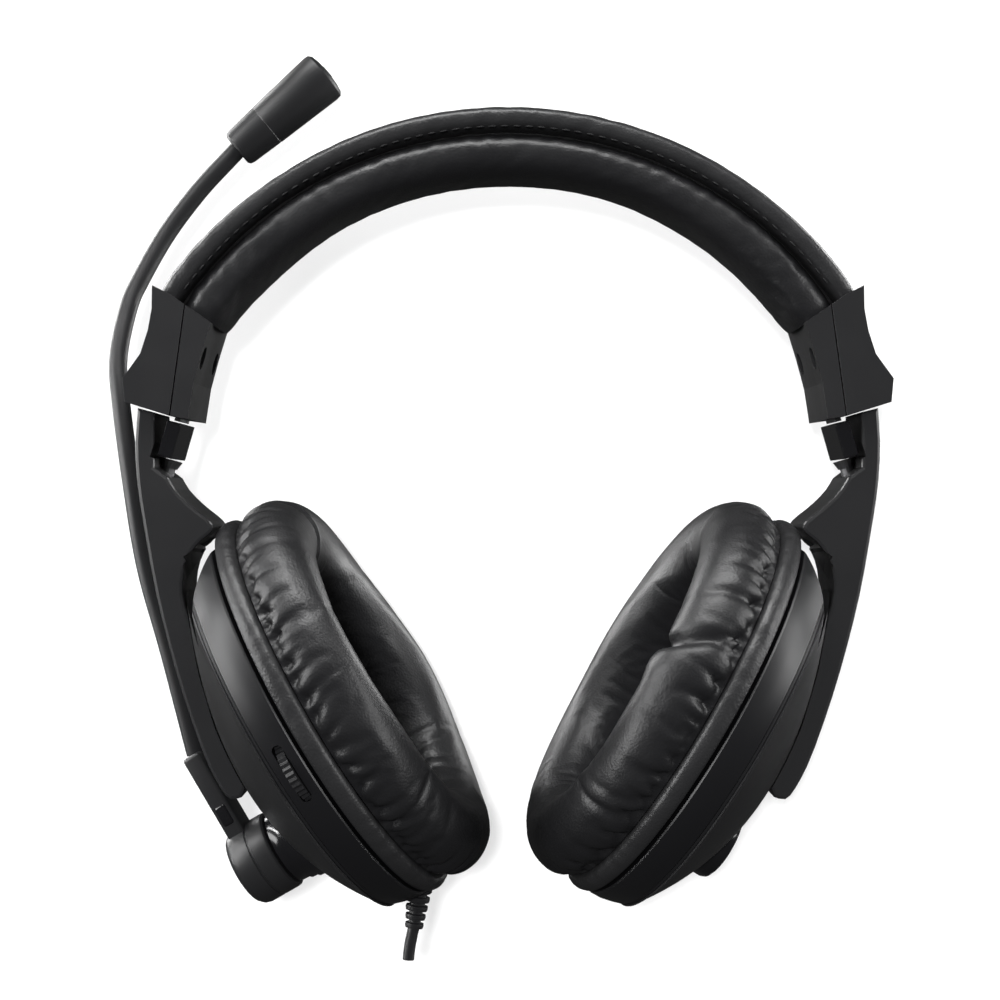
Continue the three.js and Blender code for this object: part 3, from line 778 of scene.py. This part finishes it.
def build_boom(sign):
    start = Vector(BOOM_PATH[-1])
    line = [*smooth_profile(BOOM_PATH, 10), start + NECK_OVERLAP * CAPSULE_ALONG]
    neck = tube("mic_gooseneck", line, BOOM_R, side_frame(sign), SOFT_BLACK, ROUND_SEGMENTS)
    stand_for(neck, "mic_boom", "soft_black_plastic", "mic_boom")
    profile = [
        (0, 0.45),
        (2.35, 0.4),
        (2.6, 1.1),
        (3.0, 0.4),
        (4.1, 0.35),
        (4.8, 0.9),
        (5.05, 1.9),
        (5.6, 10.0),
        (5.5, 10.2),
        (5.66, 10.5),
        (6.6, 28.3),
        (6.45, 29.5),
        (5.7, 30.2),
        (4.0, 30.6),
        (0, 30.8),
    ]
    turn = Vector((1, 0, 0)).rotation_difference(CAPSULE_ALONG).to_matrix().to_4x4()
    matrix = side_frame(sign) @ Matrix.Translation(start) @ turn
    capsule = revolved("mic_capsule_shell", profile, matrix, SOFT_BLACK, HUB_SEGMENTS, sharp=30)
    stand_for(capsule, "mic_boom", "soft_black_plastic", "mic_capsule")
    slot = box_piece("mic_inlet", (0.5, 3.4, 3.4), (30.65, 0, 0), matrix, CLOTH, 0.2)
    stand_for(slot, "mic_boom", "cloth")


# ---- Cable and blank cap ----
RELIEF_AT = Vector((21.4, 0, -46.8))
RELIEF_LEAN = math.radians(-8)
CABLE_R = 1.42


def build_cable():
    sign = SIDES["left"]
    down = Matrix.Rotation(math.radians(90), 4, "Y")
    lean = Matrix.Rotation(RELIEF_LEAN, 4, "Y")
    matrix = side_frame(sign) @ Matrix.Translation(RELIEF_AT) @ lean @ down
    profile = [(0, -1.5), (3.1, -1.5), (3.2, 1.6), (2.9, 2.0)]
    ribs = 4
    for i in range(ribs):
        start = 2.3 + i * 2.15
        wide = 2.9 - 0.22 * i
        profile += [(wide - 0.8, start), (wide - 0.8, start + 0.5), (wide, start + 0.7)]
        profile += [(wide + 0.05, start + 1.3), (wide - 0.1, start + 1.9)]
    profile.append((0, 11.0))
    relief = revolved("cable_relief", profile, matrix, SOFT_BLACK, 48, sharp=40)
    stand_for(relief, "cup_left", "soft_black_plastic", "cable_strain_relief")
    path = [(10.4 + 8.2 * t, 0, 0.35 * math.sin(2.4 * t)) for t in np.linspace(0, 1, 16)]
    wire = tube("cable_stub", path, CABLE_R, matrix, SOFT_BLACK, ROUND_SEGMENTS)
    stand_for(wire, "cup_left", "soft_black_plastic", "cable")


def build_blank_cap():
    profile = [(0, 12.0), (9.9, 12.0), (9.9, 22.8), (9.5, 23.8), (8.6, 24.3), (0, 24.4)]
    place = hub_frame(SIDES["right"])
    made = revolved("pivot_blank", profile, place, GLOSS, HUB_SEGMENTS, sharp=35)
    stand_for(made, "cup_right", "gloss_plastic", "blank_pivot_cap")


# ---- Finishes on the CAD nodes that stay ----
BEVELS = {
    "arm": 0.35,
    "slider_housing_outer": 0.6,
    "slider_housing_inner": 0.6,
    "slider_end_block": 0.5,
}


def dress_cad_nodes():
    slots = {entry["node"]: entry["material_slot"] for entry in frame["record"]["subparts"]}
    for name, node in nodes.items():
        node.data.materials.clear()
        is_screw = "screw" in name
        # Screws take the near-black steel: painted shade in their countersunk holes.
        node.data.materials.append(SHADE_PAINTED_SCREW_STEEL if is_screw else BY_SLOT[slots[name]])
        if node.hide_render:
            continue
        join = node.modifiers.new("join", "WELD")
        join.merge_threshold = MERGE_DISTANCE
        stem = name.rsplit("_", 1)[0]
        if stem in BEVELS:
            edge = node.modifiers.new("edge", "BEVEL")
            edge.width = BEVELS[stem] * MM
            edge.segments = 3
            edge.limit_method = "ANGLE"
            edge.angle_limit = math.radians(35)
            edge.use_clamp_overlap = True
        shade = node.modifiers.new("shade", "WEIGHTED_NORMAL")
        shade.keep_sharp = True


# ---- Stage, light and camera ----
# In metres.
FLOOR_DROP = 0.15  # room below for the swung boom and the extended cups
FLOOR_STEP = 0.0005  # the floor lies this far below the end of the backdrop's bend
WALL_GAP = 0.004
STAGE_REACH = 1.5
BEND_R = 0.02
CAMERA_DISTANCE = 0.5
CAMERA_OFFSET = Vector((-0.0019, -CAMERA_DISTANCE, 0.0468))
FRAME_WIDTH = 0.2437  # width of the picture at the camera's distance
SENSOR_MM = 36


def build_stage():
    """A pale floor, and a sheet that bends up from it into a wall, clear from behind."""
    wall_y = cad_box[1][1] + WALL_GAP
    floor_z = cad_box[0][2] - FLOOR_DROP
    line = [(wall_y - BEND_R, floor_z)]
    steps = 12
    for i in range(1, steps + 1):
        turn = math.pi / 2 * i / steps
        y = wall_y - BEND_R + BEND_R * math.sin(turn)
        line.append((y, floor_z + BEND_R - BEND_R * math.cos(turn)))
    line.append((wall_y, STAGE_REACH))
    stage_sheet("backdrop", line, paper("backdrop_paper", 0.62))
    below = floor_z - FLOOR_STEP
    flat = [(-STAGE_REACH, below), (STAGE_REACH, below)]
    stage_sheet("floor", flat, paper("floor_paper", 0.92))


def stage_sheet(name, line, white):
    """A sheet along X through (y, z) points. It doesn't show in reflections or block light."""
    points = [(x, y, z) for y, z in line for x in (-STAGE_REACH, STAGE_REACH)]
    mesh = bpy.data.meshes.new(name)
    mesh.from_pydata(points, [], grid_faces(len(line), 2, False, False))
    mesh.shade_smooth()
    mesh.materials.append(white)
    sheet = bpy.data.objects.new(name, mesh)
    bpy.context.scene.collection.objects.link(sheet)
    sheet.visible_glossy = False
    sheet.visible_diffuse = False
    sheet.visible_shadow = False


def paper(name, strength):
    """White paper that glows a little, so its shadows stay soft, and is clear from behind."""
    made = bpy.data.materials.new(name)
    made.use_nodes = True
    tree = made.node_tree
    tree.nodes.clear()
    output = tree.nodes.new("ShaderNodeOutputMaterial")
    sheet = tree.nodes.new("ShaderNodeBsdfDiffuse")
    sheet.inputs["Color"].default_value = (0.3, 0.3, 0.3, 1)
    glow = tree.nodes.new("ShaderNodeEmission")
    glow.inputs["Strength"].default_value = strength
    both = tree.nodes.new("ShaderNodeAddShader")
    clear = tree.nodes.new("ShaderNodeBsdfTransparent")
    choose = tree.nodes.new("ShaderNodeMixShader")
    where = tree.nodes.new("ShaderNodeNewGeometry")
    link = tree.links.new
    link(sheet.outputs[0], both.inputs[0])
    link(glow.outputs[0], both.inputs[1])
    link(where.outputs["Backfacing"], choose.inputs["Fac"])
    link(both.outputs[0], choose.inputs[1])
    link(clear.outputs[0], choose.inputs[2])
    link(choose.outputs[0], output.inputs["Surface"])
    return made


def area_light(name, place, size, power, glossy=True):
    """A soft box that faces the origin. glossy=False keeps it out of reflections."""
    data = bpy.data.lights.new(name, "AREA")
    data.shape = "RECTANGLE"
    data.size, data.size_y = size
    data.energy = power
    lamp = bpy.data.objects.new(name, data)
    lamp.location = place
    lamp.rotation_euler = (-Vector(place)).to_track_quat("-Z", "Y").to_euler()
    lamp.visible_glossy = glossy
    bpy.context.scene.collection.objects.link(lamp)


def build_light():
    area_light("top_box", (-0.1, -0.25, 0.75), (0.7, 0.35), 9)
    area_light("left_box", (-0.75, -0.35, 0.2), (0.3, 0.7), 6)
    area_light("right_box", (0.8, -0.4, 0.25), (0.25, 0.6), 4)
    area_light("back_left", (-0.7, 0.6, 0.35), (0.3, 0.7), 7)
    area_light("back_right", (0.7, 0.6, 0.25), (0.3, 0.7), 6)
    area_light("left_rim", (-0.62, 0.03, 0.05), (0.04, 0.5), 2.2)
    area_light("right_rim", (0.62, 0.03, 0.05), (0.04, 0.5), 1.6)
    area_light("shadow_light", (-0.06, -0.9, 0.08), (0.08, 0.08), 15, glossy=False)
    world = bpy.data.worlds.new("studio")
    world.use_nodes = True
    tree = world.node_tree
    rays = tree.nodes.new("ShaderNodeLightPath")
    strength = tree.nodes.new("ShaderNodeMapRange")
    strength.inputs["To Min"].default_value = 0.04  # as light
    strength.inputs["To Max"].default_value = 0.95  # as seen by the camera
    tree.links.new(rays.outputs["Is Camera Ray"], strength.inputs["Value"])
    background = tree.nodes["Background"]
    background.inputs["Color"].default_value = (1, 1, 1, 1)
    tree.links.new(strength.outputs["Result"], background.inputs["Strength"])
    bpy.context.scene.world = world
    bpy.context.scene.view_settings.view_transform = "Standard"


def build_camera():
    data = bpy.data.cameras.new("camera")
    data.sensor_width = SENSOR_MM
    data.lens = SENSOR_MM * CAMERA_DISTANCE / FRAME_WIDTH
    camera = bpy.data.objects.new("camera", data)
    camera.location = MIDDLE + CAMERA_OFFSET
    camera.rotation_euler = (math.radians(90), 0, 0)
    bpy.context.scene.collection.objects.link(camera)
    bpy.context.scene.camera = camera


build_headband()
for side, sign in SIDES.items():
    build_cushion(side, sign)
    build_shells(side, sign)
build_microphone()
build_cable()
build_blank_cap()
dress_cad_nodes()
build_stage()
build_light()
build_camera()
